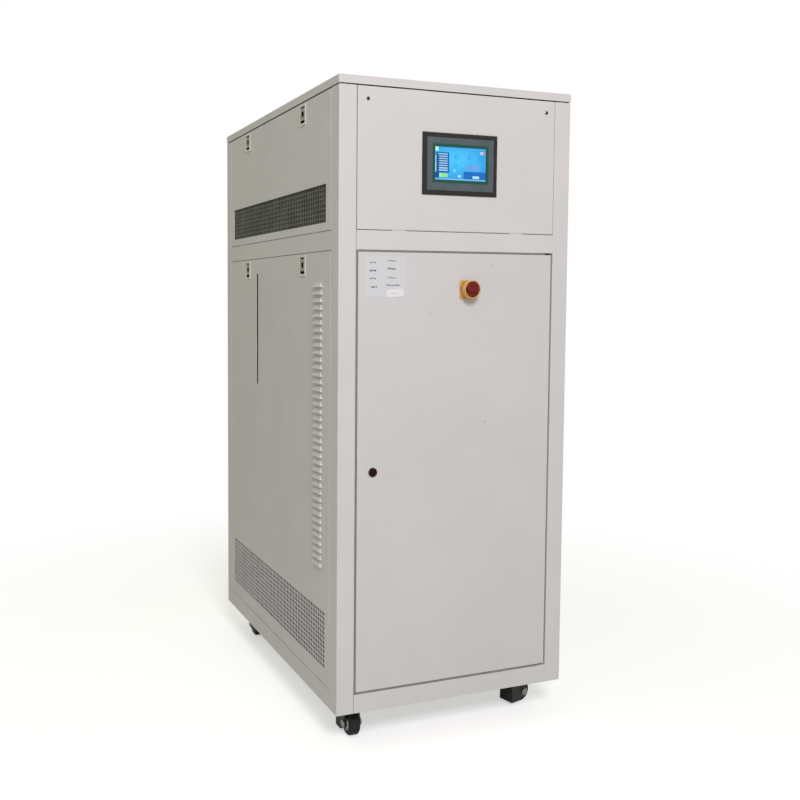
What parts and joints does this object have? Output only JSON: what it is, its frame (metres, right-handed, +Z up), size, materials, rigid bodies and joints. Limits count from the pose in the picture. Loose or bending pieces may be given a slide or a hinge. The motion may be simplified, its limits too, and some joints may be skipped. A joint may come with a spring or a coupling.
{
  "type": "recirculating chiller",
  "caption": "Floor-standing recirculating chiller in a tall grey sheet-steel cabinet with a front door, touch screen, isolator, side grilles, louvres and swivel castors.",
  "frame": {"origin": "on the floor under the middle of the cabinet", "axes": "+Z up, -Y out of the front door, +X to the right as seen from the front"},
  "size_m": [0.712, 1.0746, 1.765],
  "materials": {
    "cabinet_paint": "satin light grey powder coat",
    "frame_paint": "satin grey powder coat",
    "dark_grille_steel": "matt dark grey",
    "galvanised_steel": "galvanised sheet",
    "dark_steel": "dark plated",
    "castor_steel": "black pressed steel",
    "wheel_nylon": "black nylon",
    "latch_plastic": "grey moulded",
    "black_plastic": "dark moulded",
    "slate_plastic": "slate overlay",
    "screen": "lit display",
    "yellow_plastic": "moulded yellow",
    "red_plastic": "moulded red",
    "brass_ports": "machined"
  },
  "bodies": {
    "cabinet": {"corner_post_front_left": "cabinet_paint", "corner_post_front_right": "cabinet_paint", "corner_post_rear_left": "cabinet_paint", "corner_post_rear_right": "cabinet_paint", "base_frame": "cabinet_paint", "mid_frame": "cabinet_paint", "top_frame": "frame_paint", "lid": "cabinet_paint", "floor_pan": "frame_paint", "mounting_plate": "galvanised_steel", "upper_front_panel": "cabinet_paint", "hmi_frame": "black_plastic", "hmi_face": "slate_plastic", "hmi_screen": "screen", "rear_upper_panel": "cabinet_paint", "rear_lower_panel": "cabinet_paint", "pipe_ports": "brass_ports", "cable_gland": "black_plastic", "left_upper_panel": "cabinet_paint", "left_lower_panel": "cabinet_paint", "left_upper_grille": "dark_grille_steel", "left_lower_grille": "cabinet_paint", "left_catch_housings": "latch_plastic", "right_upper_panel": "cabinet_paint", "right_lower_panel": "cabinet_paint", "right_upper_grille": "dark_grille_steel", "right_lower_grille": "cabinet_paint", "right_catch_housings": "latch_plastic", "door_pivots": "dark_steel", "lock_keeper": "dark_steel", "castor_plates": "castor_steel"},
    "front_door": {"door": "cabinet_paint", "isolator_plate": "yellow_plastic", "isolator_box": "black_plastic", "lock_housing": "dark_steel"},
    "isolator_knob": {"isolator_handle": "red_plastic"},
    "lock_cam": {"lock_plug": "dark_steel"},
    "left_upper_front_catch_slide": {"left_upper_front_catch": "latch_plastic"},
    "left_upper_rear_catch_slide": {"left_upper_rear_catch": "latch_plastic"},
    "left_lower_front_catch_slide": {"left_lower_front_catch": "latch_plastic"},
    "left_lower_rear_catch_slide": {"left_lower_rear_catch": "latch_plastic"},
    "right_upper_front_catch_slide": {"right_upper_front_catch": "latch_plastic"},
    "right_upper_rear_catch_slide": {"right_upper_rear_catch": "latch_plastic"},
    "right_lower_front_catch_slide": {"right_lower_front_catch": "latch_plastic"},
    "right_lower_rear_catch_slide": {"right_lower_rear_catch": "latch_plastic"},
    "front_left_castor": {"front_left_yoke": "castor_steel"},
    "front_left_roller": {"front_left_wheel": "wheel_nylon"},
    "front_right_castor": {"front_right_yoke": "castor_steel"},
    "front_right_roller": {"front_right_wheel": "wheel_nylon"},
    "rear_left_castor": {"rear_left_yoke": "castor_steel"},
    "rear_left_roller": {"rear_left_wheel": "wheel_nylon"},
    "rear_right_castor": {"rear_right_yoke": "castor_steel"},
    "rear_right_roller": {"rear_right_wheel": "wheel_nylon"}
  },
  "joints": [
    {"name": "front_door_hinge", "type": "hinge", "parent": "cabinet", "child": "front_door", "pos_m": [0.2625, -0.4945, 0.15], "axis": [0, 0, 1], "range_deg": [0, 110]},
    {"name": "isolator_turn", "type": "hinge", "parent": "front_door", "child": "isolator_knob", "pos_m": [0.029, -0.5, 1.223], "axis": [0, 1, 0], "range_deg": [0, 90]},
    {"name": "lock_turn", "type": "hinge", "parent": "front_door", "child": "lock_cam", "pos_m": [-0.25, -0.5, 0.743], "axis": [0, -1, 0], "range_deg": [0, 90]},
    {"name": "left_upper_front_catch_slide_down", "type": "slide", "parent": "cabinet", "child": "left_upper_front_catch_slide", "axis": [0, 0, -1], "range_m": [0, 0.0075], "stiffness_N_per_m": 300, "springref_m": -0.01},
    {"name": "left_upper_rear_catch_slide_down", "type": "slide", "parent": "cabinet", "child": "left_upper_rear_catch_slide", "axis": [0, 0, -1], "range_m": [0, 0.0075], "stiffness_N_per_m": 300, "springref_m": -0.01},
    {"name": "left_lower_front_catch_slide_down", "type": "slide", "parent": "cabinet", "child": "left_lower_front_catch_slide", "axis": [0, 0, -1], "range_m": [0, 0.0075], "stiffness_N_per_m": 300, "springref_m": -0.01},
    {"name": "left_lower_rear_catch_slide_down", "type": "slide", "parent": "cabinet", "child": "left_lower_rear_catch_slide", "axis": [0, 0, -1], "range_m": [0, 0.0075], "stiffness_N_per_m": 300, "springref_m": -0.01},
    {"name": "right_upper_front_catch_slide_down", "type": "slide", "parent": "cabinet", "child": "right_upper_front_catch_slide", "axis": [0, 0, -1], "range_m": [0, 0.0075], "stiffness_N_per_m": 300, "springref_m": -0.01},
    {"name": "right_upper_rear_catch_slide_down", "type": "slide", "parent": "cabinet", "child": "right_upper_rear_catch_slide", "axis": [0, 0, -1], "range_m": [0, 0.0075], "stiffness_N_per_m": 300, "springref_m": -0.01},
    {"name": "right_lower_front_catch_slide_down", "type": "slide", "parent": "cabinet", "child": "right_lower_front_catch_slide", "axis": [0, 0, -1], "range_m": [0, 0.0075], "stiffness_N_per_m": 300, "springref_m": -0.01},
    {"name": "right_lower_rear_catch_slide_down", "type": "slide", "parent": "cabinet", "child": "right_lower_rear_catch_slide", "axis": [0, 0, -1], "range_m": [0, 0.0075], "stiffness_N_per_m": 300, "springref_m": -0.01},
    {"name": "front_left_swivel", "type": "hinge", "parent": "cabinet", "child": "front_left_castor", "pos_m": [-0.268, -0.388, 0.1], "axis": [0, 0, 1], "continuous": true},
    {"name": "front_left_roll", "type": "hinge", "parent": "front_left_castor", "child": "front_left_roller", "pos_m": [-0.268, -0.412, 0.0325], "axis": [1, 0, 0], "continuous": true},
    {"name": "front_right_swivel", "type": "hinge", "parent": "cabinet", "child": "front_right_castor", "pos_m": [0.268, -0.388, 0.1], "axis": [0, 0, 1], "continuous": true},
    {"name": "front_right_roll", "type": "hinge", "parent": "front_right_castor", "child": "front_right_roller", "pos_m": [0.29118, -0.38179, 0.0325], "axis": [-0.2588, 0.9659, 0], "continuous": true},
    {"name": "rear_left_swivel", "type": "hinge", "parent": "cabinet", "child": "rear_left_castor", "pos_m": [-0.268, 0.388, 0.1], "axis": [0, 0, 1], "continuous": true},
    {"name": "rear_left_roll", "type": "hinge", "parent": "rear_left_castor", "child": "rear_left_roller", "pos_m": [-0.268, 0.412, 0.0325], "axis": [-1, 0, 0], "continuous": true},
    {"name": "rear_right_swivel", "type": "hinge", "parent": "cabinet", "child": "rear_right_castor", "pos_m": [0.268, 0.388, 0.1], "axis": [0, 0, 1], "continuous": true},
    {"name": "rear_right_roll", "type": "hinge", "parent": "rear_right_castor", "child": "rear_right_roller", "pos_m": [0.28, 0.40879, 0.0325], "axis": [-0.866, 0.5, 0], "continuous": true}
  ]
}
